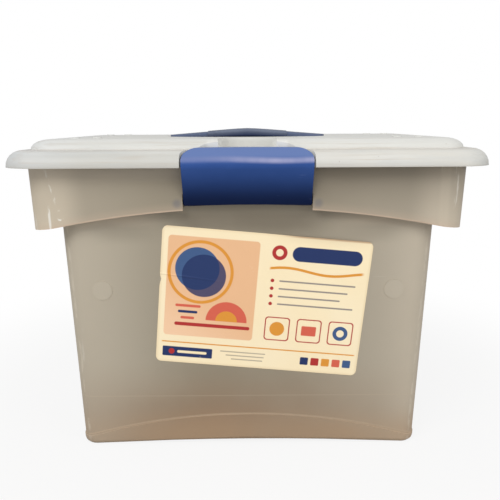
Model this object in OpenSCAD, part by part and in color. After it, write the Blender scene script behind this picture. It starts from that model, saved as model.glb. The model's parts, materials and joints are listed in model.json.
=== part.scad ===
// Portable box for hanging files: a moulded tub with a shoulder and skirt, a lift-off lid,
// two swing latches that hold the lid's rim, and a carry handle with a soft grip.
// Millimetres. Z is up, X runs along the length, the label is on the -Y face.
// The origin is the middle of the foot print, on the table.

/* [Tub] */
// Length of the tub outside, at its foot
body_l = 305.8; // [290:0.2:330]
// Depth of the tub outside, at its foot
body_w = 192; // [180:0.2:204]
// Outside corner radius of the tub in plan, at its foot
body_corner = 12; // [11:0.5:20]
// Wall of the tub, its shoulder and its skirt
wall = 2; // [1.6:0.1:2.6]
// Thickness of the tub's floor
floor_t = 2.5; // [2:0.1:3.5]
// Outside radius between floor and walls
foot_r = 5; // [3.5:0.5:7]
// Lean of every upright wall, in degrees
draft = 2.1; // [1.5:0.05:2.5]
// Height of the shoulder's underside
shoulder_z = 234; // [215:1:250]
// How far the shoulder stands out at the two ends, where the hands go
grip_reach = 20.85; // [18:0.05:26]
// How far the shoulder stands out at the front and rear
side_reach = 8.9; // [8.6:0.05:11]
// Outside corner radius of the skirt and rim in plan, taken down to the foot's level
rim_corner = 12; // [10:0.5:20]
// Height of the rim wall above the shoulder's underside
rim_h = 33.2; // [30:0.2:38]
// Height of the rails that file hooks hang on, above the shoulder
rail_h = 8; // [4:0.5:12]
// Thickness of those rails
rail_t = 1.6; // [1.2:0.1:2]
// Height of the skirt's lowest point, at the corners
skirt_z = 201.5; // [190:0.5:206]
// Rise of the skirt's arched lower edge, front and rear
skirt_rise = 20.5; // [12:0.1:24]

/* [Foot] */
// Rise of the arched floor between its two resting strips
floor_rise = 3.5; // [2:0.5:6]
// Width of each resting strip under the ends
foot_strip = 11; // [8:0.5:20]
// How far the apron stands proud of the front and rear walls
apron_step = 0.8; // [0.4:0.1:1.2]
// Height of the apron's line at the corners
apron_z = 8; // [7:0.5:12]
// Rise of the apron's arched line
apron_rise = 22.5; // [12:0.5:35]
// Radius of the low round pads on the front and rear walls
pad_r = 8.5; // [5:0.5:12]
// Height of those pads above the wall
pad_step = 0.4; // [0.2:0.1:0.8]
// Distance between the middles of the two pads on a wall
pad_pitch = 252; // [220:1:264]
// Height of the pads' middles
pad_z = 149.5; // [120:0.5:170]

/* [Lid] */
// How far the lid's edge overhangs the rim wall at the two ends
end_overhang = 16.85; // [15.5:0.05:19]
// How far the lid's edge overhangs the rim wall at the front and rear
front_overhang = 12.7; // [12:0.05:14.5]
// Corner radius of the lid in plan
lid_corner = 32; // [26:0.5:42]
// Wall of the lid
lid_wall = 2; // [1.6:0.1:2.4]
// Height of the lid's rolled rim
roll_h = 13.5; // [12:0.1:15]
// Width of the lid's rolled rim
roll_w = 13.6; // [11:0.1:14.5]
// Distance from the lid's edge to the foot of its plateau
plateau_inset = 18.2; // [17:0.1:22]
// Corner radius of the plateau's foot in plan
plateau_corner = 22; // [20:0.5:30]
// Height of the plateau above the lid's rim
plateau_h = 8.5; // [6:0.1:11]
// Width of the plateau's rounded shoulder
plateau_round = 16.5; // [12:0.5:18]
// Depth of the rib that plugs into the tub's rim
plug_h = 8; // [5:0.5:10]
// Thickness of the plug rib
plug_t = 1.6; // [1.2:0.1:2.2]
// Clearance of the plug rib inside the rim
plug_gap = 0.5; // [0.4:0.1:0.8]
// Clearance between the lid and the rim it rests on
lid_gap = 0.3; // [0.2:0.05:0.5]
// Radius of the low round stacking dots on the lid
dot_r = 4; // [2.5:0.5:6]
// Height of the stacking dots
dot_h = 0.8; // [0.4:0.1:1.5]
// Distance between the two dots of a pair
dot_pitch = 19; // [14:0.5:30]
// Distance from the lid's end to the outer dot of a pair
dot_end_inset = 50; // [44:1:80]
// Distance from the lid's front and rear to the dots
dot_side_inset = 60; // [52:1:68]

/* [Dish under the handle] */
// How far the oval dish reaches past the handle's tips
dish_margin = 4; // [4:0.5:8]
// Half-width of the oval dish
dish_b = 44; // [36:0.5:50]
// Depth of the dish
dish_depth = 20; // [16:0.5:20]
// Share of the dish's half-axes that its bottom takes
dish_bottom = 0.5; // [0.4:0.05:0.6]

/* [Latches] */
// Width of a latch
latch_w = 105.2; // [90:0.2:120]
// Thickness of a latch's plate
latch_t = 2.4; // [2:0.1:2.8]
// Clearance between a latch and the lid
latch_gap = 0.5; // [0.4:0.05:0.7]
// Side clearance of a latch in the skirt's window
window_gap = 0.7; // [0.5:0.1:1.2]
// Side clearance of a latch in the lid's seat
seat_gap = 1.2; // [0.8:0.1:2]
// How far the latch seat is set back from the lid's edge
seat_inset = 3.8; // [3.5:0.1:4.5]
// How far the latch seat lies below the lid's rim
seat_drop = 1.2; // [0.8:0.1:1.6]
// How far a latch's lip reaches in from the lid's edge
lip_reach = 24.5; // [22:0.5:26]
// Radius of the finger notch behind each latch
notch_r = 24.5; // [20:0.5:28]
// Distance from the lid's edge to the end of the finger notch
notch_reach = 53.5; // [48:0.5:56]
// Radius of a latch's pivot barrel
barrel_r = 3.3; // [3:0.1:3.6]
// Rise of a latch's bowed lower edge
foot_bow = 1.2; // [0.6:0.1:1.6]
// Radius of a pivot pin
pin_r = 2; // [1.6:0.1:2.2]
// Length of a pivot pin
pin_l = 5; // [4:0.2:6]
// Radial clearance of a pivot pin in its socket
pin_gap = 0.05; // [0.03:0.01:0.09]
// Outside radius of a pin socket
socket_r = 3.5; // [3.4:0.1:3.8]
// Height of the pivots below the shoulder's underside
pivot_drop = 7; // [6.8:0.1:8.5]

/* [Handle] */
// Length of the carry handle
handle_l = 151; // [144:1:156]
// Width of the handle's strap
strap_w = 30; // [24:0.5:32]
// Thickness of the strap at its middle
strap_t = 8; // [6:0.2:9]
// Height of the strap's crown above the plateau
crown_h = 6.95; // [5:0.05:12]
// Height of the strap's tips above the plateau
tip_h = 1.5; // [0.3:0.1:2.5]
// Depth of the two pedestals that carry the strap's ends, below the plateau
end_drop = 2.5; // [2:0.1:3.5]
// How far a pedestal stands out round the strap's end
end_margin = 1; // [0.5:0.1:1.5]
// Radius of the staked pegs under the strap's ends
peg_r = 3; // [2:0.25:4]
// Radial clearance of the pegs in the lid
peg_gap = 0.1; // [0.05:0.01:0.2]
// Radius of the pegs' staked heads
head_r = 5; // [4.5:0.25:6]
// Thickness of the pegs' staked heads
head_t = 1.5; // [1:0.1:2.5]
// Length of the soft grip
grip_l = 76; // [60:1:84]
// How far the grip stands proud of the strap
grip_step = 0.6; // [0.4:0.1:1.2]
// How far the strap is necked in under the grip
neck_step = 1.2; // [0.8:0.1:1.6]
// Clearance between the grip and the strap
grip_gap = 0.15; // [0.1:0.05:0.3]
// Radius of the dimples along the grip
dimple_r = 2.2; // [1.5:0.1:3]
// Depth of the dimples
dimple_h = 0.7; // [0.3:0.1:1]
// Number of dimples
dimples = 5; // [3:1:7]

/* [Label] */
// Length of the paper label
label_l = 179.2; // [120:1:200]
// Height of the paper label
label_h = 123.6; // [90:0.5:135]
// Thickness of the paper
label_t = 0.25; // [0.1:0.05:0.4]
// Thickness of the glue under the paper
glue_t = 0.05; // [0.02:0.01:0.1]
// Corner radius of the label
label_corner = 5; // [2:0.5:10]
// How far the label's middle lies right of the tub's middle
label_x = 12; // [0:1:20]
// Height of the label's middle
label_z = 137.5; // [125:1:145]
// Tilt of the label, clockwise in degrees
label_tilt = 5.2; // [0:0.1:6]

/* [Hidden] */
$fn = 48;

corner_steps = 6;
side_steps = 16;
round_steps = 6;
level = [0, 1];
lean = tan(draft);
over = 1;

// Heights that follow from the driving ones
rim_top = shoulder_z + rim_h;
lid_top = rim_top + lid_gap + lid_wall;
lid_edge = lid_top - roll_h;
plateau_top = lid_top + plateau_h;
crown_top = plateau_top + crown_h;
dish_a = handle_l / 2 + dish_margin;
dish_floor = plateau_top - dish_depth;
dish_swell = 1.7;
end_floor = plateau_top - end_drop;
seat_top = lid_top - seat_drop;

// Half-lengths and half-depths in plan, the upright ones taken at z = 0
body_half = [body_l, body_w] / 2;
rim_half = body_half + [grip_reach, side_reach];
lid_half = rim_half + lean * lid_edge * [1, 1] + [end_overhang, front_overhang];
plug_half = rim_half + (lean * lid_edge - wall - plug_gap) * [1, 1];

// Arches, each as its rise and half-span
floor_arch = [floor_rise, body_half.x - foot_r - foot_strip];
apron_arch = [apron_rise, body_half.x - foot_r];
skirt_arch = [skirt_rise, rim_half.x + lean * skirt_z];

// Handle ends: middle of each round end, where the strap's underside turns level, its play over
// the pedestals, how blunt its tips are, how soft its corners and how soft its crown
end_x = handle_l / 2 - strap_w / 2;
strap_flat = end_x - strap_w / 2 - end_margin;
end_play = 0.05;
strap_blunt = 0.4;
strap_soft = 0.6;
crown_soft = 0.1;

// Latch pivot, measured from the tub's middle, its socket buried just inside the skirt's face
socket_bury = 0.2;
socket_end = 1.5;
socket_l = pin_l + socket_end;
pivot_z = shoulder_z - pivot_drop;
pivot_out = rim_half.y + lean * pivot_z - socket_r - socket_bury;
pivot = [pivot_out, pivot_z];
window_half = latch_w / 2 + window_gap;

// Latch seat on the lid: level inwards of its bend, then sloping down to a short upright edge
seat_half = latch_w / 2 + seat_gap;
seat_out = lid_half.y - seat_inset;
bend_past_pivot = 1;
seat_bend = pivot_out + bend_past_pivot;
seat_slope = 0.6;
seat_bend_r = 6;
seat_edge_r = 3;
lip_gap = 1.2;

// Latch: start of the lip's oval plan, corner radii of its face, and its knee at the lid's edge
lip_square = 1;
lip_start = latch_t + lip_square;
lip_bend_r = 8;
nose_r = 5;
knee_r = 8;
knee_rise = 0.5;
knee = [lid_half.y, lid_edge + knee_rise];
face_foot = pivot + turned(unit(knee - pivot) * barrel_r, -acos(barrel_r / norm(knee - pivot)));
rib_gap = 1;
foot_start = 0.2;

// ---- Outlines and lofts ----

// Rear half of a rounded rectangle, as pairs of a point and its outward normal
function half_outline(half, r) = concat(
    [for (i = [0 : corner_steps])
        let (a = 90 * i / corner_steps, n = [cos(a), sin(a)])
        [half - [r, r] + r * n, n]],
    [for (i = [1 : side_steps - 1])
        [[(half.x - r) * (1 - 2 * i / side_steps), half.y], [0, 1]]],
    [for (i = [0 : corner_steps])
        let (a = 90 + 90 * i / corner_steps, n = [cos(a), sin(a)])
        [[r - half.x, half.y - r] + r * n, n]]
);

// Rise of an arch, given as its rise and half-span, at x
function arch_rise(arch, x) = arch[0] * max(0, 1 - pow(x / arch[1], 2));

// A ring closed by mirroring its rear half to the front
function mirrored(rear) = concat(
    rear,
    [for (i = [len(rear) - 1 : -1 : 0]) [rear[i].x, -rear[i].y, rear[i].z]]
);

// Level or arched ring of a rounded rectangle that leans outwards as it rises
function leaning_ring(half, r, z, arch = level) = mirrored([
    for (q = half_outline(half, r))
        let (h = z + arch_rise(arch, q[0].x), p = q[0] + lean * h * q[1])
        [p.x, p.y, h]
]);

// Upright ring of a rounded rectangle
function upright_ring(half, r, z) = mirrored([for (q = half_outline(half, r)) [q[0].x, q[0].y, z]]);

// Upright ring of an oval
function oval_ring(a, b, z, n = 20) = mirrored([
    for (i = [0 : n - 1]) let (t = 180 * (i + 0.5) / n) [a * cos(t), b * sin(t), z]
]);

// Solid skinned over rings, which run from its lower cap to its upper one
module loft(rings) {
    n = len(rings[0]);
    last = n * (len(rings) - 1);
    polyhedron(
        points = [for (r = rings) each r],
        faces = concat(
            [for (k = [0 : n : last - 1], i = [0 : n - 1]) [k + i, k + n + i, k + n + (i + 1) % n]],
            [for (k = [0 : n : last - 1], i = [0 : n - 1]) [k + i, k + n + (i + 1) % n, k + (i + 1) % n]],
            [for (i = [0 : n / 2 - 2]) [i, i + 1, n - 2 - i]],
            [for (i = [0 : n / 2 - 2]) [i, n - 2 - i, n - 1 - i]],
            [for (i = [0 : n / 2 - 2]) last * [1, 1, 1] + [n - 2 - i, i + 1, i]],
            [for (i = [0 : n / 2 - 2]) last * [1, 1, 1] + [n - 1 - i, n - 2 - i, i]]
        )
    );
}

// ---- Sections drawn as round-cornered paths ----

function unit(v) = v / norm(v);
function turned(v, a) = [v.x * cos(a) - v.y * sin(a), v.x * sin(a) + v.y * cos(a)];
function left_of(v) = [-unit(v).y, unit(v).x];

// Arc that rounds the corner p between the points before and after it
function fillet(before, p, after, r) =
    let (
        a = unit(before - p),
        b = unit(after - p),
        half_angle = acos(a * b) / 2,
        centre = p + unit(a + b) * r / sin(half_angle),
        start = p + a * r / tan(half_angle) - centre,
        side = cross(a, b) > 0 ? -1 : 1,
        sweep = side * (180 - 2 * half_angle)
    )
    [for (i = [0 : round_steps]) centre + turned(start, sweep * i / round_steps)];

// Path through points [x, y, corner radius]; a radius of 0 keeps the corner sharp
function rounded(path) = [
    for (i = [0 : len(path) - 1])
        let (p = [path[i][0], path[i][1]])
        each path[i][2] == 0 ? [p] : fillet(
            [path[i - 1][0], path[i - 1][1]], p, [path[i + 1][0], path[i + 1][1]], path[i][2]
        )
];

// The same path moved sideways, to its left for a positive distance
function shifted(path, d) = [
    for (i = [0 : len(path) - 1])
        let (
            m = left_of(path[max(i, 1)] - path[max(i, 1) - 1]),
            n = left_of(path[min(i, len(path) - 2) + 1] - path[min(i, len(path) - 2)])
        )
        path[i] + (m + n) * d / (1 + m * n)
];

function reversed(path) = [for (i = [len(path) - 1 : -1 : 0]) path[i]];

// Extrudes a section drawn in (out, up) along X, out being towards the front
module across(width) {
    rotate([90, 0, -90])
        linear_extrude(width, center = true)
            children();
}

module both_sides() {
    children();
    rotate([0, 0, 180])
        children();
}

// Moves a flat shape onto the leaning front wall, its height measured up the wall
module on_front_wall(x, z) {
    translate([x, -body_half.y - lean * z, z])
        rotate([90 + draft, 0, 0])
            children();
}

// ---- Tub ----

function body_ring(inset, z, arch = level) =
    leaning_ring(body_half - inset * [1, 1], body_corner - inset, z, arch);
function rim_ring(inset, z, arch = level) =
    leaning_ring(rim_half - inset * [1, 1], rim_corner - inset, z, arch);

// One continuous wall: floor, apron, body, shoulder, skirt, rim, gutter, rail, inside, floor
module tub_shell() {
    inner_r = foot_r - wall;
    loft(concat(
        [for (a = [0 : 30 : 90])
            body_ring(foot_r * (1 - sin(a)) - apron_step, foot_r * (1 - cos(a)), floor_arch)],
        [body_ring(-apron_step, apron_z - lean * apron_step, apron_arch)],
        [body_ring(0, apron_z + apron_step / 2, apron_arch)],
        [body_ring(0, shoulder_z)],
        [rim_ring(wall, shoulder_z)],
        [rim_ring(wall, skirt_z, skirt_arch)],
        [rim_ring(0, skirt_z, skirt_arch)],
        [rim_ring(0, rim_top)],
        [rim_ring(wall, rim_top)],
        [rim_ring(wall, shoulder_z + wall)],
        [body_ring(wall - rail_t, shoulder_z + wall)],
        [body_ring(wall - rail_t, shoulder_z + wall + rail_h)],
        [body_ring(wall, shoulder_z + wall + rail_h)],
        [for (a = [90 : -30 : 0])
            body_ring(wall + inner_r * (1 - sin(a)), floor_t + inner_r * (1 - cos(a)), floor_arch)]
    ));
}

// Opening in the skirt that a latch swings through
module latch_window() {
    skirt_out = rim_half.y + lean * shoulder_z;
    translate([-window_half, -skirt_out - over, skirt_z])
        cube([2 * window_half, side_reach / 2 + over, shoulder_z - skirt_z]);
}

// Low stretch of the rim's top edge, under the latch seat of the lid
module rim_dip() {
    rim_out = rim_half.y + lean * rim_top;
    dip_half = seat_half + lid_wall + window_gap;
    translate([-dip_half, -rim_out - over, seat_under(rim_out) - lid_gap])
        cube([2 * dip_half, wall + 2 * over, rim_h]);
}

// Cheek and socket at one end of a latch window, hung from the shoulder
module pin_socket() {
    skirt_in = rim_half.y + lean * pivot_z - wall / 2;
    skirt_low = skirt_z + arch_rise(skirt_arch, window_half);
    translate([window_half, -pivot_out, pivot_z])
        rotate([0, 90, 0])
            cylinder(r = socket_r, h = socket_l);
    translate([window_half, -pivot_out - socket_r, pivot_z])
        cube([socket_l, 2 * socket_r, pivot_drop + wall / 2]);
    translate([window_half, -skirt_in, skirt_low + wall])
        cube([wall, side_reach - wall / 2, shoulder_z - wall / 2 - skirt_low]);
}

module pin_bore() {
    translate([window_half - over, -pivot_out, pivot_z])
        rotate([0, 90, 0])
            cylinder(r = pin_r + pin_gap, h = pin_l + over);
}

module wall_pads() {
    for (side = [-1, 1])
        on_front_wall(side * pad_pitch / 2, pad_z)
            translate([0, 0, -wall / 2])
                cylinder(r = pad_r, h = wall / 2 + pad_step);
}

module tub() {
    color([0.78, 0.74, 0.66])
        difference() {
            union() {
                difference() {
                    tub_shell();
                    both_sides()
                        latch_window();
                }
                both_sides() {
                    pin_socket();
                    mirror([1, 0, 0])
                        pin_socket();
                    wall_pads();
                }
            }
            both_sides() {
                rim_dip();
                pin_bore();
                mirror([1, 0, 0])
                    pin_bore();
            }
        }
}

// ---- Lid ----

// Latch seat's surface as (out, up)
function seat_path() = rounded([
    [0, seat_top, 0],
    [seat_bend, seat_top, seat_bend_r],
    [seat_out, seat_top - seat_slope * (seat_out - seat_bend), seat_edge_r],
    [seat_out, lid_edge - over, 0]
]);

// Underside of the latch seat's wall at a distance from the middle
function seat_under(out) = seat_top - seat_slope * (out - seat_bend) - lid_wall * norm([1, seat_slope]);

function rim_roll(inset, z) = upright_ring(lid_half - inset * [1, 1], lid_corner - inset, z);
function plateau_ring(inset, z) =
    upright_ring(lid_half - (plateau_inset + inset) * [1, 1], plateau_corner - inset, z);

// Outer form of the lid, or with a positive inset the hollow inside its wall
module lid_form(inset, below) {
    w = roll_w - inset;
    h = roll_h - inset;
    round_w = plateau_round - inset;
    loft(concat(
        below > 0 ? [rim_roll(inset, lid_edge - below)] : [],
        [for (a = [0 : 15 : 90]) rim_roll(inset + w * (1 - cos(a)), lid_edge + h * sin(a))],
        [for (a = [0 : 15 : 90])
            plateau_ring(inset + round_w * (1 - cos(a)), lid_top - inset + plateau_h * sin(a))]
    ));
}

// Rib that drops inside the tub's rim
module plug_rib() {
    bottom = lid_top - lid_wall - plug_h;
    plug_corner = rim_corner + lean * lid_edge - wall - plug_gap;
    difference() {
        loft([for (z = [bottom, lid_top]) upright_ring(plug_half, plug_corner, z)]);
        loft([for (z = [bottom - over, lid_top + over])
            upright_ring(plug_half - plug_t * [1, 1], plug_corner - plug_t, z)]);
    }
}

// Plan of a latch's lip and of what clears it: square at the lid's edge, then half an oval
module lip_plan(half, reach) {
    depth = reach - lip_start;
    polygon(concat(
        [[-half, lid_half.y + over], [-half, lid_half.y - lip_start]],
        [for (a = [175 : -5 : 5]) [half * cos(a), lid_half.y - lip_start - depth * sin(a)]],
        [[half, lid_half.y - lip_start], [half, lid_half.y + over]]
    ));
}

// Space for a latch on the lid, with the finger notch behind it, grown for the wall round it
module latch_seat(grow) {
    intersection() {
        across(4 * seat_half)
            polygon(concat(
                shifted(seat_path(), -grow),
                [[lid_half.y + 2 * over, lid_edge - over], [lid_half.y + 2 * over, plateau_top + over],
                 [0, plateau_top + over]]
            ));
        mirror([0, 1, 0])
            linear_extrude(plateau_top + 2 * over)
                union() {
                    lip_plan(seat_half + grow, lip_reach + lip_gap + grow);
                    translate([0, lid_half.y - notch_reach + notch_r])
                        circle(r = notch_r + grow);
                }
    }
}

// Oval scoop that the fingers reach into under the handle, deepening in a smooth curve
module scoop(grow) {
    loft(concat(
        [for (u = [0 : 1 / 6 : 1.001])
            let (share = dish_bottom + (1 - dish_bottom) * u, rise = dish_depth * pow(u, dish_swell))
            oval_ring(dish_a * share + grow, dish_b * share + grow, dish_floor - grow + rise)],
        [oval_ring(dish_a + grow, dish_b + grow, plateau_top + over)]
    ));
}

// Pedestals that rise from the dish under the handle's ends, hollow from below
module pedestals(shrink) {
    r = strap_w / 2 + end_margin;
    for (side = [-1, 1])
        translate([side * end_x, 0, dish_floor - dish_depth])
            cylinder(r = r - shrink, h = end_floor - shrink - dish_floor + dish_depth);
}

module lid_pockets(grow) {
    both_sides()
        latch_seat(grow);
    difference() {
        scoop(grow);
        pedestals(grow);
    }
}

// Pairs of low round dots near the lid's corners
module stacking_dots() {
    for (sx = [-1, 1], sy = [-1, 1], i = [0, 1])
        translate([
            sx * (lid_half.x - dot_end_inset - i * dot_pitch), sy * (lid_half.y - dot_side_inset),
            plateau_top - lid_wall / 2
        ])
            cylinder(r = dot_r, h = lid_wall / 2 + dot_h);
}

module lid() {
    color([0.84, 0.85, 0.84])
        difference() {
            union() {
                difference() {
                    lid_form(0, 0);
                    difference() {
                        lid_form(lid_wall, over);
                        plug_rib();
                        lid_pockets(lid_wall);
                    }
                }
                stacking_dots();
            }
            lid_pockets(0);
            for (side = [-1, 1])
                translate([side * end_x, 0, end_floor - lid_wall - over])
                    cylinder(r = peg_r + peg_gap, h = lid_wall + 2 * over);
        }
}

// ---- Latches ----

// Outer face of a latch as (out, up), from its lip over the rim and down to the pivot
function latch_path() =
    let (
        lift = latch_gap + latch_t,
        bend = seat_bend + lift * tan(atan(seat_slope) / 2),
        nose_z = seat_top + lift - seat_slope * (lid_half.y - bend)
    )
    rounded([
        [lid_half.y - lip_reach, seat_top + lift, 0],
        [bend, seat_top + lift, lip_bend_r],
        [lid_half.y, nose_z, nose_r],
        [knee.x, knee.y, knee_r],
        [face_foot.x, face_foot.y, 0]
    ]);

// Middle of the sloping plate at a height
function plate_middle(z) =
    let (slope = (knee.x - face_foot.x) / (knee.y - face_foot.y))
    face_foot.x + slope * (z - face_foot.y) - latch_t / 2 * norm([1, slope]);

// Rib inside the latch, clear of the tub's rim and the lid's edge
module latch_rib() {
    clear_out = rim_half.y + lean * lid_edge + rib_gap;
    low = shoulder_z + wall + rib_gap;
    high = lid_edge - rib_gap;
    across(latch_t)
        polygon([
            [clear_out, low], [clear_out, high],
            [plate_middle(high), high], [plate_middle(low), low]
        ]);
}

// What the bowed lower edge takes off the barrel, starting just below it at the latch's ends
module foot_cut() {
    low = pivot_z - barrel_r - foot_start;
    arch = [foot_bow + foot_start, latch_w / 2];
    translate([0, 2 * barrel_r - pivot_out, 0])
        rotate([90, 0, 0])
            linear_extrude(4 * barrel_r)
                polygon([for (i = [-side_steps : side_steps])
                    let (x = arch[1] * i / side_steps) [x, low + arch_rise(arch, x)]]);
}

module latch() {
    path = latch_path();
    difference() {
        union() {
            across(latch_w) {
                polygon(concat(path, reversed(shifted(path, -latch_t))));
                translate(pivot)
                    circle(r = barrel_r);
            }
            for (x = [-1, -1 / 3, 1 / 3, 1])
                translate([x * (latch_w - latch_t) / 2, 0, 0])
                    latch_rib();
        }
        translate([0, 0, knee.y + over])
            linear_extrude(2 * roll_h)
                difference() {
                    translate([-latch_w, -lid_half.y - 2 * over])
                        square([2 * latch_w, 2 * lip_reach]);
                    mirror([0, 1, 0])
                        lip_plan(latch_w / 2, lip_reach);
                }
        foot_cut();
    }
    for (side = [0, 1])
        mirror([side, 0, 0])
            translate([latch_w / 2 - over, -pivot_out, pivot_z])
                rotate([0, 90, 0])
                    cylinder(r = pin_r, h = pin_l + over);
}

module front_latch() {
    color([0.16, 0.26, 0.52])
        latch();
}

module rear_latch() {
    color([0.16, 0.26, 0.52])
        rotate([0, 0, 180])
            latch();
}

// ---- Handle ----

// Top and underside of the strap at x, falling from its crown, and its width, round at the two tips
function crown_fall(t) = (norm([t, crown_soft]) - crown_soft) / (norm([1, crown_soft]) - crown_soft);
function strap_top(x) = crown_top - (crown_h - tip_h) * crown_fall(2 * x / handle_l);
function strap_bottom(x) =
    end_floor + end_play + (crown_top - strap_t - end_floor) * max(0, 1 - pow(x / strap_flat, 2));
function strap_width(x) = strap_w * sqrt(1 - pow(max(0, abs(x) - end_x) / (strap_w / 2), 2));

// Soft-cornered section of the strap at x, smaller all round by inset
function strap_ring(x, inset, n = 12) =
    let (
        half_w = strap_width(x) / 2 - inset,
        half_t = (strap_top(x) - strap_bottom(x)) / 2 - inset,
        middle = (strap_top(x) + strap_bottom(x)) / 2
    )
    [for (i = [0 : 2 * n - 1])
        let (a = 180 * (i + 0.5) / n, p = [for (v = [cos(a), sin(a)]) sign(v) * pow(abs(v), strap_soft)])
        [x, half_w * p.x, middle + half_t * p.y]];

module carry_handle() {
    tip = handle_l / 2 - strap_blunt;
    neck = grip_l / 2 + grip_gap;
    color([0.17, 0.25, 0.45])
        union() {
            loft(concat(
                [for (i = [0 : 8]) strap_ring(-tip * cos(i * 6), 0)],
                [strap_ring(-neck, 0)],
                [for (i = [0 : 8]) strap_ring(neck * (i / 4 - 1), neck_step)],
                [strap_ring(neck, 0)],
                [for (i = [8 : -1 : 0]) strap_ring(tip * cos(i * 6), 0)]
            ));
            for (side = [-1, 1])
                translate([side * end_x, 0, end_floor - lid_wall - end_play - head_t]) {
                    cylinder(r = peg_r, h = head_t + lid_wall + 2 * end_play + over);
                    cylinder(r = head_r, h = head_t);
                }
        }
}

// Rubber sleeve over the strap's neck
module soft_grip() {
    half = grip_l / 2;
    color([0.36, 0.42, 0.55])
        difference() {
            loft([for (i = [0 : 8]) strap_ring(half * (i / 4 - 1), -grip_step)]);
            loft([for (i = [-1 : 9]) strap_ring((half + grip_gap) * (i / 4 - 1), neck_step - grip_gap)]);
            for (i = [0 : dimples - 1])
                let (x = (i - (dimples - 1) / 2) * grip_l / (dimples + 1))
                translate([x, 0, strap_top(x) + grip_step - dimple_h])
                    cylinder(r = dimple_r, h = dimple_h + over);
        }
}

// ---- Label ----

module front_label() {
    color([0.95, 0.87, 0.7])
        on_front_wall(label_x, label_z)
            translate([0, 0, glue_t])
                rotate([0, 0, -label_tilt])
                    linear_extrude(label_t)
                        offset(r = label_corner)
                            square([label_l, label_h] - 2 * label_corner * [1, 1], center = true);
}

tub();
lid();
front_latch();
rear_latch();
carry_handle();
soft_grip();
front_label();
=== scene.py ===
"""Looks of the portable file box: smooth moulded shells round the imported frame, their plastics, the
paper label with a plain printed design, a pale studio and the photograph's camera. Metres, Z up."""

import json
import math

import bpy
from mathutils import Matrix, Vector


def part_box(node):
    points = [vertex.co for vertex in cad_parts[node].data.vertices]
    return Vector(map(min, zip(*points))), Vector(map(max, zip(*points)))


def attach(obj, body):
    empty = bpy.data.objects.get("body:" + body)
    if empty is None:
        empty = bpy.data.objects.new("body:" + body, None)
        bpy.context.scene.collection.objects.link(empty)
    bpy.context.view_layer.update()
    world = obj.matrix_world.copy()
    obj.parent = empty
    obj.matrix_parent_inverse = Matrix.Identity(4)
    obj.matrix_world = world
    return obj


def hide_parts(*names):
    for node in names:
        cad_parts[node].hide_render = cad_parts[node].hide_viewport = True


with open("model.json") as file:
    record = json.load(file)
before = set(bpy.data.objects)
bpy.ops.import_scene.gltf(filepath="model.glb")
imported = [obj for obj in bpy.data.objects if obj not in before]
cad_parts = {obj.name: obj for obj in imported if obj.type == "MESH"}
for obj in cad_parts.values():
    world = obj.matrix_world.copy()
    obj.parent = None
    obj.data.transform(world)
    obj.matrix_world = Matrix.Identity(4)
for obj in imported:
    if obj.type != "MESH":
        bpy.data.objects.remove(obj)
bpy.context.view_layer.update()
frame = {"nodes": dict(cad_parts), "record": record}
nodes = frame["nodes"]
MM = 0.001


# ---- Shader sums written as Python expressions ----


class Term:
    """One output of a material's nodes, so that sums on it are written as Python writes them."""

    def __init__(self, graph, socket):
        self.graph, self.socket = graph, socket

    def maths(self, operation, *others):
        sockets = {0: self, **dict(enumerate(others, 1))}
        return self.graph.add("Math", {"operation": operation}, sockets)

    def __add__(self, other):
        return self.maths("ADD", other)

    def __sub__(self, other):
        return self.maths("SUBTRACT", other)

    def __mul__(self, other):
        return self.maths("MULTIPLY", other)

    def __truediv__(self, other):
        return self.maths("DIVIDE", other)

    def __rsub__(self, other):
        return self.graph.add("Math", {"operation": "SUBTRACT"}, {0: other, 1: self})

    def __abs__(self):
        return self.maths("ABSOLUTE")

    __radd__ = __add__
    __rmul__ = __mul__

    def at_least(self, low):
        return self.maths("MAXIMUM", low)

    def at_most(self, high):
        return self.maths("MINIMUM", high)

    def root(self):
        return self.maths("SQRT")

    def sine(self):
        return self.maths("SINE")

    def band(self, start, end):
        """0 up to start, 1 from end, and smooth between; start may be the higher."""
        sockets = {"Value": self, "From Min": start, "From Max": end}
        return self.graph.add("MapRange", {"interpolation_type": "SMOOTHSTEP"}, sockets)

    def line(self, middle, half, soft):
        """1 within half of middle, fading to 0 over soft on both sides."""
        return abs(self - middle).band(half + soft, half)


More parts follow.
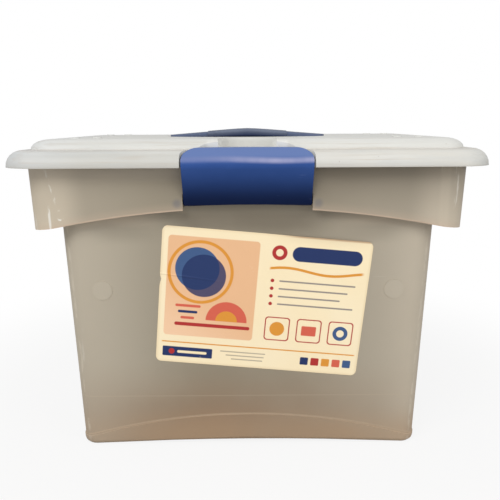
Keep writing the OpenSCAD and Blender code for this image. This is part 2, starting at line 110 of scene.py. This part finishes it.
class Graph:
    """A new material, or the world, and its nodes. Its colour is built up coat by coat."""

    def __init__(self, name, kind="Material"):
        library = bpy.data.worlds if kind == "World" else bpy.data.materials
        self.owner = library.new(name)
        self.owner.use_nodes = True
        self.tree = self.owner.node_tree
        self.tree.nodes.clear()
        self.output = self.tree.nodes.new("ShaderNodeOutput" + kind)
        self.place = self.add("TexCoord", output="Object")
        self.x, self.y, self.z = self.parts(self.place)
        self.colour = None

    def add(self, kind, settings=None, sockets=None, output=0):
        """A node of that kind, with its settings first and then its sockets' values or links."""
        node = self.tree.nodes.new("ShaderNode" + kind)
        for name, value in (settings or {}).items():
            setattr(node, name, value)
        for name, value in (sockets or {}).items():
            if isinstance(value, Term):
                self.tree.links.new(value.socket, node.inputs[name])
            else:
                node.inputs[name].default_value = value
        return Term(self, node.outputs[output])

    def parts(self, vector):
        """The three numbers of a vector."""
        node = self.add("SeparateXYZ", sockets={"Vector": vector}).socket.node
        return [Term(self, s) for s in node.outputs]

    def noise(self, scale, detail=3.0, roughness=0.5, stretch=(1, 1, 1)):
        """Noise from 0 to 1, with more of it per metre where stretch is high."""
        place = self.add("Mapping", sockets={"Vector": self.place, "Scale": stretch})
        sockets = {"Vector": place, "Scale": scale, "Detail": detail, "Roughness": roughness}
        return self.add("TexNoise", sockets=sockets)

    def far(self, a, a0, b, b0):
        """Distance from the point a0, b0 in the plane of a and b."""
        return ((a - a0) * (a - a0) + (b - b0) * (b - b0)).root()

    def mix(self, share, a, b):
        """Colour a, with share of colour b over it."""
        colours = {n: (*c, 1) if isinstance(c, tuple) else c for n, c in ((6, a), (7, b))}
        return self.add("Mix", {"data_type": "RGBA"}, {0: share, **colours}, output=2)

    def coat(self, share, paint):
        """Lays a share of the paint over the colour so far."""
        self.colour = self.mix(share, self.colour, paint)

    def bump(self, height, distance, strength=1.0, under=None):
        """A normal roughened by that height, over the one under it."""
        sockets = {"Height": height, "Distance": distance, "Strength": strength}
        if under:
            sockets["Normal"] = under
        return self.add("Bump", sockets=sockets)

    def solid(self, roughness, normal, **fixed):
        """Opaque plastic or paper of the colour."""
        sockets = {"Base Color": self.colour, "Roughness": roughness, "Normal": normal}
        return self.add("BsdfPrincipled", sockets={**sockets, **fixed})

    def frosted(self, share, roughness, normal, grain):
        """Plastic of the colour that lets a share of the light through, scattered."""
        outside = self.solid(roughness, normal, IOR=PLASTIC_IOR)
        glow = self.add("BsdfTranslucent", sockets={"Color": self.colour, "Normal": grain})
        return self.add("MixShader", sockets={0: share, 1: outside, 2: glow})

    def finish(self, shader):
        self.tree.links.new(shader.socket, self.output.inputs["Surface"])
        return self.owner


def srgb(r, g, b):
    """A colour as a screen shows it, from 0 to 255, as the light it sends back."""
    return tuple(
        v / 255 / 12.92 if v <= 10 else ((v / 255 + 0.055) / 1.055) ** 2.4 for v in (r, g, b)
    )


def shine(level):
    """How strongly a solid plastic mirrors its surroundings; 0.5 is usual."""
    return {"Specular IOR Level": level}


PLASTIC_IOR, PAPER_IOR = 1.49, 1.45


# ---- Sizes repeated from the box ----

LEAN = math.tan(math.radians(2.1))
BODY_FACE = 96 * MM
END_FACE = 152.9 * MM
SKIRT_LOW, SKIRT_RISE, SKIRT_HALF = 201.5 * MM, 20.5 * MM, 181 * MM
APRON_LOW, APRON_RISE = 8.4 * MM, 22.5 * MM
LOW_LINE_UP = 49 * MM
PIN_OUT, PIN_UP = 57.8 * MM, 226 * MM
PAD_OUT, PAD_UP = 126 * MM, 149.5 * MM
LATCH_END = 51 * MM
STRAP_FALL, GRIP_FALL = 0.082, 0.075
LABEL_AT = (12 * MM, 0, 137.5 * MM)
LABEL_SIZE = (179.2, 123.6)
LABEL_TILT = math.radians(5.2)
LABEL_THICK = 0.25 * MM
NICK_UP = 14
lid_low, lid_high = (Vector(c).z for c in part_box("lid"))
latch_low = Vector(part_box("front_latch")[0]).z


# ---- Plastics and paper ----


def tub_plastic():
    """Natural polypropylene with painted light and shade: paler where light comes through one wall
    than through two, darker in the middle, a painted warm glow of the floor low down, painted shade
    under the rim, and painted highlights. Side, out and end grow outwards from the middle of the tub."""
    g = Graph("frosted_tub")
    side = abs(g.x)
    out = abs(g.y) - g.z * LEAN
    end = side - g.z * LEAN
    along = side / END_FACE
    skirt = out.band(BODY_FACE + 3.5 * MM, BODY_FACE + 5.5 * MM)
    skirt = skirt.at_least(end.band(END_FACE + 6 * MM, END_FACE + 9 * MM))
    wall = 1 - skirt

    # Painted light and shade of one wall or two behind each other: darker in the middle, paler on the
    # skirt's single wall and to the right, and a painted warm glow of the floor low on the walls and
    # foot.
    middle = along.band(1.0, 0.15)
    single = end.band(END_FACE - 31 * MM, END_FACE - 5 * MM) * skirt
    low = g.z.band(90 * MM, 22 * MM)
    foot = g.z.band(42 * MM, 8 * MM) * (0.25 + g.x.band(-140 * MM, -50 * MM) * 0.4)
    g.colour = g.mix(middle, srgb(206, 196, 177), srgb(164, 154, 134))
    g.coat(low * (0.35 + middle * 0.55), srgb(168, 138, 110))
    g.coat(skirt * 0.45, srgb(164, 152, 132))
    g.coat(single * 0.74, srgb(232, 220, 199))
    g.coat(g.x.band(-120 * MM, 160 * MM) * 0.18, srgb(214, 204, 186))
    g.coat(g.x.band(110 * MM, 150 * MM) * wall * 0.35, srgb(236, 224, 204))
    g.coat(foot, srgb(200, 168, 134))

    # Painted shade under the rim and on the skirt, painted light on the skirt's left top, a painted
    # shadow of the skirt on the body, and painted light on the body under the skirt away from the
    # middle.
    shade = skirt * g.z.band(205 * MM, 252 * MM)
    shade = shade * (0.4 - g.x.band(20 * MM, -100 * MM) * 0.34)
    lit = skirt * g.z.band(242 * MM, 254 * MM) * g.x.band(20 * MM, -60 * MM)
    inner = side.band(82 * MM, 42 * MM) * g.z.band(192 * MM, 208 * MM) * wall
    inner = inner * g.z.band(223 * MM, 213 * MM)
    outer = side.band(62 * MM, 104 * MM) * wall
    soft = outer * side.band(140 * MM, 112 * MM) * g.z.band(188 * MM, 200 * MM)
    g.coat(shade, srgb(112, 102, 88))
    g.coat(lit * 0.4, srgb(228, 218, 202))
    g.coat(inner * 0.52, srgb(106, 96, 82))
    g.coat(soft * 0.26, srgb(132, 122, 104))
    g.coat(outer * g.z.band(203 * MM, 212 * MM) * 0.7, srgb(224, 210, 188))

    # Painted glow along the skirt's arched edge, a painted highlight on the arched step of the apron,
    # and a fine level line above it.
    across = g.x / SKIRT_HALF
    up = g.z - (SKIRT_LOW + SKIRT_RISE * (1 - across * across))
    edge = skirt * up.band(9 * MM, 0) * 0.3 + skirt * up.band(1.6 * MM, 0.6 * MM) * 0.5
    apron = g.z - (APRON_LOW + APRON_RISE * (1 - along * along).at_least(0))
    g.coat(edge, srgb(222, 198, 174))
    g.coat(apron.line(0.2 * MM, 0.5 * MM, 0.5 * MM) * wall * 0.5, srgb(214, 192, 164))
    g.coat(g.z.line(LOW_LINE_UP, 0.2 * MM, 0.5 * MM) * 0.22, srgb(222, 206, 180))

    # The latches' pins seen through the skirt, the round pads, and clouds in the plastic.
    pins = g.far(side, PIN_OUT, g.z, PIN_UP).band(5.5 * MM, 1 * MM)
    pads = g.far(side, PAD_OUT, g.z, PAD_UP).band(9.6 * MM, 8 * MM)
    cloud = g.noise(11, 3, 0.55)
    haze = g.noise(5, 2, 0.5, (1, 1, 0.4))
    g.coat(pins * skirt * 0.38, srgb(86, 100, 128))
    g.coat(pads * wall * 0.14, srgb(232, 224, 206))
    g.coat(cloud.band(0.42, 0.75) * 0.22, srgb(196, 184, 164))
    g.coat(haze.band(0.45, 0.7) * 0.12, srgb(150, 138, 120))

    # Painted highlight streaks at the left of the front skirt, painted highlights down the body's end
    # corners and on the right of the skirt, scuffed corners, and fine scratches.
    patchy = g.noise(150, 3, 0.6, (1, 1, 0.5)).band(0.42, 0.58)
    bent = g.x + g.noise(70, 2) * 2.5 * MM
    long_streak = (bent + g.z * 0.23).line(-103.6 * MM, 0.3 * MM, 0.9 * MM)
    long_streak = long_streak * g.z.band(224 * MM, 230 * MM)
    low_streak = bent.line(-161.4 * MM, 0.5 * MM, 0.9 * MM) * g.z.band(226 * MM, 221 * MM)
    curl = g.far(g.x, -154 * MM, g.z, 217 * MM).line(4 * MM, 0.3 * MM, 0.8 * MM)
    curl = curl * g.x.band(-158 * MM, -155 * MM)
    front = g.y.band(-90 * MM, -100 * MM)
    highlight_streaks = long_streak.at_least(low_streak).at_least(curl) * patchy * skirt * front
    bright = end.line(146.6 * MM, 0.4 * MM, 1.6 * MM) * wall * patchy
    corner = end.band(END_FACE - 14 * MM, END_FACE - 4 * MM)
    corner = corner * out.band(BODY_FACE - 14 * MM, BODY_FACE - 4 * MM)
    scuffs = g.noise(60, 4, 0.65, (1.6, 1.6, 0.28)).band(0.62, 0.7) * corner
    scratches = g.noise(34, 5, 0.7, (0.16, 1, 2.6)).band(0.69, 0.74) * 0.35
    marks = scuffs.at_least(scratches)
    g.coat(highlight_streaks * 0.9, srgb(252, 249, 240))
    g.coat(bright * 0.4, srgb(236, 226, 208))
    g.coat(g.x.line(161 * MM, 2 * MM, 4 * MM) * skirt * 0.12, srgb(240, 228, 208))
    g.coat(marks * 0.6, srgb(240, 236, 226))

    grain = g.bump(g.noise(1100, 2), 0.06 * MM, 0.35)
    wave = g.bump(g.noise(7, 2, 0.4), 1.2 * MM, 0.25, grain)
    roughness = 0.36 + cloud * 0.12 + marks * 0.25
    return g.finish(g.frosted(0.28, roughness, wave, grain))


def lid_plastic():
    """Off-white lid with faint flow streaks along its length and greyer in its grooves, with painted
    light on its top, upper rim and right end, a painted highlight at the latch seat, and painted
    shade low on its rim, at its lower edge and at its lower left. Up is measured from its lower edge."""
    g = Graph("lid_plastic")
    up = g.z - lid_low
    streak = g.noise(16, 5, 0.6, (0.22, 1.5, 2.4))
    cloud = g.noise(9, 3, 0.55)
    left_shade = g.x.band(10 * MM, -70 * MM) * up.band(12 * MM, 9 * MM)
    seat = abs(g.x).band(35 * MM, 31 * MM) * up.line(15 * MM, 4 * MM, 3 * MM)
    seat = seat * abs(g.y).band(84 * MM, 90 * MM)
    cool = g.noise(22, 4, 0.6, (0.3, 1, 2)).band(0.56, 0.74)
    wisps = g.noise(260, 3, 0.6, (0.05, 0.7, 1.5)).band(0.5, 0.68) * cloud.band(0.3, 0.55)
    sides = abs(g.y).band(88 * MM, 102 * MM)
    groove = up.line(13.4 * MM, 0.2 * MM, 1.1 * MM)
    specks = g.noise(240, 2, 0.5).band(0.74, 0.79)
    g.colour = g.mix(cloud.band(0.35, 0.7), srgb(205, 204, 198), srgb(214, 214, 209))
    # Painted light on the upper rim, to the right and on top; painted shade at the lower left; a
    # painted highlight at the latch seat; painted shade low on the rim.
    g.coat(up.band(10 * MM, 15 * MM) * 0.32, srgb(228, 228, 223))
    g.coat(g.x.band(-40 * MM, 120 * MM) * 0.38, srgb(232, 232, 227))
    g.coat(up.band(18 * MM, 22 * MM) * 0.35, srgb(240, 240, 236))
    g.coat(left_shade * 0.4, srgb(184, 182, 174))
    g.coat(seat * 0.6, srgb(243, 243, 239))
    g.coat(up.band(7 * MM, 0) * 0.4, srgb(178, 175, 166))
    g.coat(streak.band(0.52, 0.72) * 0.5, srgb(222, 216, 204))
    g.coat(cool * 0.35, srgb(192, 196, 196))
    g.coat(wisps * (0.08 + sides * 0.26), srgb(188, 174, 156))
    g.coat(g.x.band(-120 * MM, -200 * MM) * 0.3, srgb(206, 212, 220))
    g.coat(groove * 0.2, srgb(196, 180, 164))
    # Painted shade along the lower edge.
    g.coat(up.band(1.6 * MM, 0) * 0.35, srgb(168, 162, 152))
    g.coat(specks * 0.35, srgb(150, 138, 124))

    grain = g.bump(g.noise(900, 2), 0.08 * MM, 0.4)
    wave = g.bump(streak, 0.4 * MM, 0.25, grain)
    return g.finish(g.frosted(0.08, 0.42 + cloud * 0.14, wave, grain))


def latch_plastic():
    """Blue latch with painted light on its lip, stress whitening and a painted highlight along its
    crest, and painted shade deepening towards its lower edge, from which up is measured."""
    g = Graph("latch_plastic")
    up = g.z - latch_low
    cloud = g.noise(26, 3, 0.55, (0.5, 1, 1))
    height = up + (g.x * 55).sine() * 0.7 * MM + g.noise(24, 2) * 1.6 * MM
    crest = height.line(39.2 * MM, 0.3 * MM, 3 * MM) * g.noise(34, 3, 0.6, (1, 0.3, 0.3))
    crest = crest * (0.4 + g.x.band(-40 * MM, 10 * MM) * 1.2)
    scratches = g.noise(70, 4, 0.7, (0.2, 1, 2.4)).band(0.66, 0.72)
    g.colour = g.mix(cloud.band(0.3, 0.75), srgb(46, 76, 138), srgb(54, 84, 148))
    # Painted shade towards the lower edge, painted light on the lip, and stress whitening with a
    # painted highlight along the crest.
    g.coat(up.band(36 * MM, 2 * MM) * 0.95, srgb(8, 21, 54))
    g.coat(up.band(34 * MM, 42.5 * MM), srgb(99, 120, 170))
    g.coat(crest.at_most(1), srgb(156, 158, 190))
    g.coat(scratches * 0.16, srgb(150, 164, 200))

    grain = g.bump(g.noise(900, 2), 0.05 * MM, 0.3)
    roughness = 0.34 + cloud * 0.16 + scratches * 0.15
    return g.finish(g.solid(roughness, grain, **shine(0.07)))


def arch_top_light(g, rise, start, patches):
    """Painted light along the top of the arch: from start up to 3 mm of rise, most along its two long
    edges.
    """
    return rise.band(start, 3 * MM) * patches * (0.5 + abs(g.y).band(0, 10 * MM) * 0.5)


def handle_plastic():
    """Navy strap, with painted light along the top of its arch."""
    g = Graph("handle_plastic")
    cloud = g.noise(40, 4, 0.6, (0.5, 1, 1))
    rise = g.z - (lid_high - abs(g.x) * STRAP_FALL)
    g.colour = g.mix(cloud.band(0.3, 0.75), srgb(30, 42, 72), srgb(38, 52, 86))
    g.coat(arch_top_light(g, rise, -2.4 * MM, 0.3 + cloud * 0.7), srgb(106, 118, 146))
    g.coat(g.noise(300, 3, 0.6).band(0.64, 0.72) * 0.25, srgb(150, 156, 170))
    grain = g.bump(g.noise(800, 2), 0.05 * MM, 0.3)
    return g.finish(g.solid(0.38 + cloud * 0.16, grain, **shine(0.2)))


def grip_rubber():
    """Soft grip with a fine pebbled skin, with painted light along the top of its arch."""
    g = Graph("grip_rubber")
    cloud = g.noise(50, 4, 0.6, (0.5, 1, 1))
    rise = g.z - (lid_high + 4 * MM - abs(g.x) * GRIP_FALL)
    g.colour = g.mix(cloud.band(0.3, 0.75), srgb(34, 46, 78), srgb(42, 56, 90))
    g.coat(arch_top_light(g, rise, -4 * MM, 0.35 + cloud * 0.6), srgb(126, 134, 150))
    pebbles_per_metre = 900.0
    pebbles = g.add("TexVoronoi", sockets={"Vector": g.place, "Scale": pebbles_per_metre})
    skin = g.bump(pebbles, 0.12 * MM, 0.5)
    return g.finish(g.solid(0.62 + cloud * 0.15, skin, **shine(0.25)))


def label_paper():
    """Cream paper printed with a plain design of discs, bars and ruled lines, in the label's own
    millimetres: u to the right and v up from its middle, turned with it."""
    g = Graph("printed_paper")
    turned = {
        "Vector": g.place,
        "Location": LABEL_AT,
        "Rotation": (0, LABEL_TILT, 0),
        "Scale": (MM, MM, MM),
    }
    u, _, v = g.parts(g.add("Mapping", {"vector_type": "TEXTURE"}, turned))
    cream, peach, navy = srgb(249, 231, 192), srgb(234, 186, 142), srgb(20, 44, 96)
    red, coral, orange = srgb(176, 42, 40), srgb(214, 96, 74), srgb(222, 148, 50)
    blue, slate, grey = srgb(58, 88, 134), srgb(70, 74, 98), srgb(90, 84, 88)
    ink_edge = 0.35

    def reach(x, y, wide=0, high=0):
        """Distance from the middle of a disc, or from the core of a round-ended or rounded bar."""
        a, b = ((abs(w - c) - h).at_least(0) for w, c, h in ((u, x, wide), (v, y, high)))
        return (a * a + b * b).root()

    def disc(x, y, r):
        return reach(x, y).band(r + ink_edge, r - ink_edge)

    def bar(x, y, wide, high, r=1.5):
        """A bar of those half sizes with corners of radius r."""
        return reach(x, y, wide - r, high - r).band(r + ink_edge, r - ink_edge)

    def ring(x, y, r, half):
        return reach(x, y).line(r, half - 0.2, 0.5)

    fade = g.noise(18, 3, 0.6)
    g.colour = g.mix(fade.band(0.3, 0.8) * 0.4, cream, srgb(251, 238, 208))

    # The picture on its panel: two discs in a ring, a dome on a bar, and three short bars.
    panel = bar(-45, 9, 39, 45, 3)
    above = v.band(-20.3, -19.7)
    g.coat(panel, peach)
    g.coat(panel * (u * 0.6 + v).band(-20, -90) * 0.6, srgb(250, 214, 180))
    g.coat(disc(-58, 26, 19), blue)
    g.coat(disc(-52, 20, 19) * 0.92, navy)
    g.coat(ring(-55, 23, 27, 1.3), orange)
    g.coat(disc(-30, -20, 18) * above, coral)
    g.coat(disc(-30, -20, 9.5) * above, orange)
    g.coat(bar(-42, -25, 33, 1.6), red)
    for n, paint in enumerate((coral, navy, coral)):
        g.coat(bar(-64, -8 - 5.5 * n, 11 - 2.5 * n, 1.2, 1.1), paint)

    # The right half: a heading bar, a wave, four dotted lines and three framed signs.
    g.coat(bar(52, 46, 30, 6.5, 6.4), navy)
    g.coat(disc(11, 46, 6.5), red)
    g.coat(disc(11, 46, 3.2), cream)
    wave = v - (31 + (u * 0.085).sine() * 2.2)
    g.coat(wave.line(0, 0.9, 0.5) * u.band(3, 5) * u.band(86, 82), orange)
    for n, shift in enumerate((0, 3, 6, 0)):
        row = 21 - 7 * n
        g.coat(disc(7, row, 1.6), red)
        g.coat(bar(46 - shift, row, 33 - shift, 0.7, 0.6) * 0.75, slate)
    signs = (disc(15, -23, 6.5), bar(43, -23, 6.5, 4.5, 1), ring(71, -23, 5, 1.6))
    for x, sign, paint in zip((15, 43, 71), signs, (orange, coral, blue)):
        outline = bar(x, -23, 11, 11, 3) - bar(x, -23, 10, 10, 2.4)
        g.coat(outline.at_least(0), red)
        g.coat(sign, paint)

    # The foot: a rule, a navy plate, three fine lines and five squares.
    foot = -51.5
    g.coat(v.line(-42.5, 0.35, 0.4) * u.band(-86, -84) * u.band(87, 85), orange)
    g.coat(bar(-62, foot, 22, 4.6, 1), navy)
    g.coat(disc(-76, foot, 2.6), red)
    g.coat(bar(-58, foot, 13, 1.2, 1.1), cream)
    for n in range(3):
        g.coat(bar(-13 + 2 * n, -48 - 3.4 * n, 20 - 3 * n, 0.5, 0.45) * 0.6, grey)
    for n, paint in enumerate((navy, red, orange, coral, blue)):
        g.coat(bar(42 + 9.5 * n, foot, 3.6, 3.6, 1), paint)

    # Age: a browned edge, pale rubbed patches and a crease from the nick, and a painted shadow where
    # the paper curls.
    half_u, half_v = (s / 2 for s in LABEL_SIZE)
    rim = abs(u).band(half_u - 3, half_u).at_least(abs(v).band(half_v - 3, half_v))
    curl_shadow = (v + fade * 0.8).band(half_v - 1.5, half_v - 0.2) * u.band(8, 30)
    rub = g.noise(90, 4, 0.7, (0.6, 1, 1)).band(0.66, 0.74)
    crease = (v + u * 0.06).line(NICK_UP, 0.1, 1.1) * u.band(-20, -70)
    g.coat(rim * (0.12 + fade * 0.3), srgb(214, 186, 142))
    g.coat(curl_shadow * 0.6, srgb(164, 116, 82))
    g.coat(rub * 0.2, srgb(248, 236, 210))
    fibres = g.bump(g.noise(1400, 3), 0.03 * MM, 0.3)
    folded = g.bump(crease, 0.5 * MM, 0.6, fibres)
    return g.finish(g.solid(0.46 + fade * 0.12, folded, IOR=PAPER_IOR))


finishes = {
    "tub": tub_plastic(),
    "lid": lid_plastic(),
    "latch": latch_plastic(),
    "handle": handle_plastic(),
    "grip": grip_rubber(),
    "label": label_paper(),
}
record = frame["record"]
slot_of = {s["node"]: s["material_slot"] for s in record["subparts"]}
body_of = {n: body for body, names in record["behaviour"]["bodies"].items() for n in names}


# ---- Pieces ----

WELD = 0.02 * MM
FLAT = math.radians(0.6)
SMOOTH = math.radians(32)
SHARP = math.radians(40)
ROUNDING, ROUNDING_STEPS = 0.5 * MM, 2


def stand_for(piece, node):
    """Lets a finished piece show in a node's place, on its body and with its finish."""
    piece.data.materials.clear()
    piece.data.materials.append(finishes[slot_of[node]])
    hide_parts(node)
    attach(piece, body_of[node])


def pick(piece):
    """Selects that piece alone."""
    bpy.ops.object.select_all(action="DESELECT")
    piece.select_set(True)
    bpy.context.view_layer.objects.active = piece


def round_ends(piece, end):
    """Rounds the sharp edges of the piece that lie past end on both sides of the middle."""
    bpy.ops.mesh.select_all(action="DESELECT")
    bpy.ops.mesh.select_mode(type="EDGE")
    bpy.ops.mesh.edges_select_sharp(sharpness=SHARP)
    bpy.ops.object.mode_set(mode="OBJECT")
    for edge in piece.data.edges:
        if min(abs(piece.data.vertices[v].co.x) for v in edge.vertices) < end:
            edge.select = False
    bpy.ops.object.mode_set(mode="EDIT")
    bpy.ops.transform.edge_bevelweight(value=1)
    bpy.ops.object.mode_set(mode="OBJECT")
    rounding = piece.modifiers.new("rounding", "BEVEL")
    rounding.width, rounding.segments = ROUNDING, ROUNDING_STEPS
    rounding.limit_method = "WEIGHT"
    rounding.use_clamp_overlap = False
    bpy.ops.object.modifier_apply(modifier=rounding.name)


def moulded(node, end=0):
    """A smooth moulding over a CAD node: a copy with its loose triangles merged, its flat faces
    joined and, where end is given, its sharp edges past it rounded."""
    piece = nodes[node].copy()
    piece.data = nodes[node].data.copy()
    piece.name = piece.data.name = "moulded_" + node
    piece.parent = None
    bpy.context.scene.collection.objects.link(piece)
    pick(piece)
    bpy.ops.mesh.customdata_custom_splitnormals_clear()
    bpy.ops.object.mode_set(mode="EDIT")
    bpy.ops.mesh.select_all(action="SELECT")
    bpy.ops.mesh.remove_doubles(threshold=WELD)
    bpy.ops.mesh.dissolve_limited(angle_limit=FLAT)
    if end:
        round_ends(piece, end)
    bpy.ops.object.mode_set(mode="OBJECT")
    bpy.ops.object.shade_smooth_by_angle(angle=SMOOTH)
    even = piece.modifiers.new("even_shading", "WEIGHTED_NORMAL")
    even.keep_sharp = True
    bpy.ops.object.modifier_apply(modifier=even.name)
    stand_for(piece, node)


def paper_label():
    """The stuck-on label: a sheet with round corners that follows the leaning wall, its top edge
    lifting towards the right and a small nick in its left edge."""
    wide, high = (s * MM for s in LABEL_SIZE)
    corner, corner_steps = 5 * MM, 8
    nick_deep, nick_half, nick_reach = 1.3 * MM, 2.2 * MM, 2 * MM
    lift_high, lift_deep = 1.5 * MM, 9 * MM
    lift_from, lift_long = -2 * MM, wide / 2 + 12 * MM
    glued = 0.05 * MM + LABEL_THICK
    columns, rows = 60, 42

    bpy.ops.object.select_all(action="DESELECT")
    bpy.ops.mesh.primitive_grid_add(x_subdivisions=columns, y_subdivisions=rows, size=1)
    piece = bpy.context.object
    piece.name = piece.data.name = "paper_label"
    bpy.ops.object.mode_set(mode="EDIT")
    bpy.ops.mesh.select_all(action="SELECT")
    bpy.ops.transform.resize(value=(wide, high, 1))
    for sx in (-1, 1):
        for sy in (-1, 1):
            middle = Vector((sx * (wide / 2 - corner), sy * (high / 2 - corner), 0))
            for step in range(1, corner_steps):
                turn = math.radians(90 * step / corner_steps)
                way = Vector((sx * math.cos(turn), sy * math.sin(turn), 0))
                cut = middle + way * corner
                bpy.ops.mesh.select_all(action="SELECT")
                bpy.ops.mesh.bisect(plane_co=cut, plane_no=way, clear_outer=True)
    bpy.ops.object.mode_set(mode="OBJECT")

    stand = Matrix.Rotation(math.atan(LEAN) + math.pi / 2, 3, "X")
    tilt = Matrix.Rotation(-LABEL_TILT, 3, "Z")
    out = stand @ Vector((0, 0, 1))
    base = Vector((LABEL_AT[0], -BODY_FACE - LEAN * LABEL_AT[2], LABEL_AT[2]))
    for vertex in piece.data.vertices:
        u, v = vertex.co.x, vertex.co.y
        nick = 0
        if u < -wide / 2 + nick_reach:
            nick = nick_deep * math.exp(-(((v - NICK_UP * MM) / nick_half) ** 2))
        lift = lift_high * max(0, (v - high / 2 + lift_deep) / lift_deep) ** 2
        lift *= max(0, math.sin(math.pi * min(1, max(0, (u - lift_from) / lift_long))))
        flat = tilt @ Vector((u + nick, v, 0))
        vertex.co = stand @ flat + out * (glued + lift) + base

    pick(piece)
    paper = piece.modifiers.new("paper", "SOLIDIFY")
    paper.thickness, paper.offset = LABEL_THICK, -1
    bpy.ops.object.modifier_apply(modifier=paper.name)
    bpy.ops.object.shade_smooth_by_angle(angle=SHARP)
    stand_for(piece, "front_label")


moulded("tub")
moulded("lid")
moulded("front_latch", LATCH_END)
moulded("rear_latch", LATCH_END)
moulded("carry_handle")
moulded("soft_grip")
paper_label()


# ---- Studio ----

WHITE = (1, 1, 1, 1)
CLOTH = (0.62, 0.61, 0.6, 1)
CLOTH_WHITE = 0.87
FLOOR_SIZE, FLOOR_BACK = 8, 1
SHADOW_FULL, SHADOW_GONE = 0.22, 0.55
WORLD_LIGHT = 0.55
CAMERA_AT = (0, -0.589, 0.2898)
CAMERA_LENS, CAMERA_SENSOR = 42.16, 36
CAMERA_TURN, CAMERA_DOWN, CAMERA_ROLL = -0.2, 12.18, -0.3


def lamp(name, at, target, size, power):
    """A soft rectangular lamp that points at its target."""
    data = bpy.data.lights.new(name, "AREA")
    data.shape, data.size, data.size_y = "RECTANGLE", *size
    data.energy = power
    light = bpy.data.objects.new(name, data)
    bpy.context.scene.collection.objects.link(light)
    light.location = at
    light.rotation_euler = (Vector(target) - Vector(at)).to_track_quat("-Z", "Y").to_euler()


def floor_cloth():
    """Pale cloth that the camera sees as white, with the object's shadow left faintly near it."""
    g = Graph("floor_cloth")
    away = g.far(g.x, 0, g.y, -FLOOR_BACK)
    share = CLOTH_WHITE + away.band(SHADOW_FULL, SHADOW_GONE) * (1 - CLOTH_WHITE)
    seen = g.add("LightPath", output="Is Camera Ray")
    cloth = g.add("BsdfDiffuse", sockets={"Color": CLOTH})
    white = g.add("Emission", sockets={"Color": WHITE, "Strength": 1.0})
    return g.finish(g.add("MixShader", sockets={0: seen * share, 1: cloth, 2: white}))


def studio_light():
    """Even light from all round, which the camera sees as plain white."""
    g = Graph("studio", "World")
    seen = g.add("LightPath", output="Is Camera Ray")
    dim = g.add("Background", sockets={"Color": WHITE, "Strength": WORLD_LIGHT})
    white = g.add("Background", sockets={"Color": WHITE, "Strength": 1.0})
    return g.finish(g.add("MixShader", sockets={0: seen, 1: dim, 2: white}))


bpy.ops.object.select_all(action="DESELECT")
bpy.ops.mesh.primitive_plane_add(size=FLOOR_SIZE, location=(0, FLOOR_BACK, 0))
floor = bpy.context.object
floor.name = "floor"
floor.data.materials.append(floor_cloth())

bpy.context.scene.world = studio_light()
lamp("key", at=(-0.9, -1.3, 1.5), target=(0, 0, 0.16), size=(1.2, 0.9), power=22)
lamp("fill", at=(1.3, -1.1, 0.9), target=(0, 0, 0.14), size=(1.0, 1.0), power=9)

camera_data = bpy.data.cameras.new("camera")
camera_data.sensor_width = CAMERA_SENSOR
camera_data.lens = CAMERA_LENS
camera = bpy.data.objects.new("camera", camera_data)
bpy.context.scene.collection.objects.link(camera)
camera.location = CAMERA_AT
turn = Matrix.Rotation(math.radians(CAMERA_TURN), 3, "Z")
pitch = Matrix.Rotation(math.radians(90 - CAMERA_DOWN), 3, "X")
roll = Matrix.Rotation(math.radians(CAMERA_ROLL), 3, "Z")
camera.rotation_euler = (turn @ pitch @ roll).to_euler()
bpy.context.scene.camera = camera

bpy.context.scene.view_settings.view_transform = "Standard"
